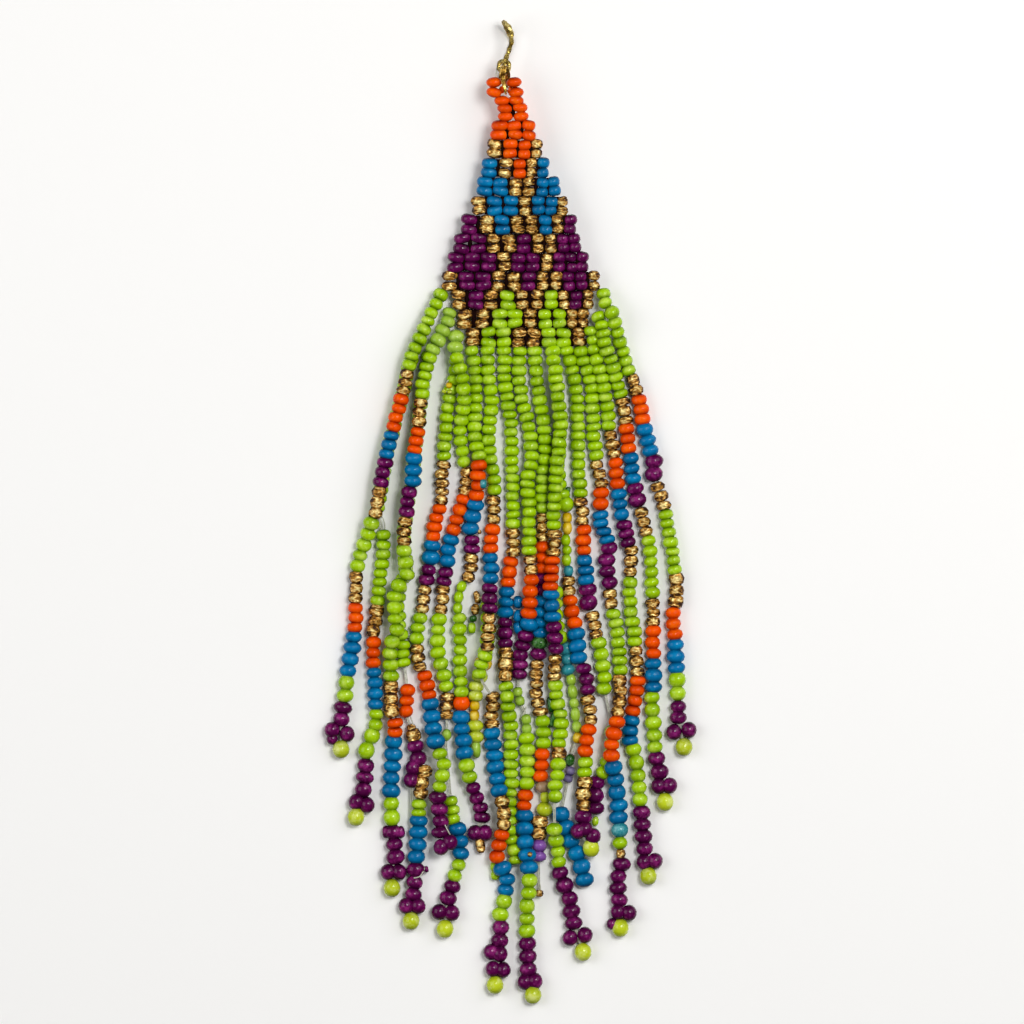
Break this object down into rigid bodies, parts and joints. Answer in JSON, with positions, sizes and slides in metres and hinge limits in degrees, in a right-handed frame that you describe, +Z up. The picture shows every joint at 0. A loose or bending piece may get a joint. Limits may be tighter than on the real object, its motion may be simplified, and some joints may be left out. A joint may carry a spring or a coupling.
{
  "type": "beaded fringe earring",
  "caption": "Long drop earring: a tapered panel woven from seed beads on a wire ear hook, with a fringe of bead strings in colour bands, lying face up.",
  "frame": {"origin": "middle of the earring's footprint, on the surface that it lies on", "axes": "+Z up out of the surface, +Y along the earring towards the ear hook, +X to the right as seen from above"},
  "size_m": [0.0554, 0.147, 0.0064],
  "materials": {
    "hook_wire": "olive gold wire, polished",
    "link_wire": "thin gold wire, polished",
    "panel_beads": "glossy glass seed beads in bronze gold, orange, lime green, blue and plum",
    "string_beads": "glossy glass seed beads in bands of lime green, bronze gold, orange, blue and plum"
  },
  "bodies": {
    "root": {"ear_hook": "hook_wire", "hook_link": "link_wire", "woven_panel": "panel_beads", "strand_01": "string_beads", "strand_02": "string_beads", "strand_03": "string_beads", "strand_04": "string_beads", "strand_05": "string_beads", "strand_06": "string_beads", "strand_07": "string_beads", "strand_08": "string_beads", "strand_09": "string_beads", "strand_10": "string_beads", "strand_11": "string_beads", "strand_12": "string_beads", "strand_13": "string_beads", "strand_14": "string_beads", "strand_15": "string_beads", "strand_16": "string_beads", "strand_17": "string_beads", "strand_18": "string_beads", "strand_19": "string_beads", "strand_20": "string_beads"}
  },
  "joints": []
}
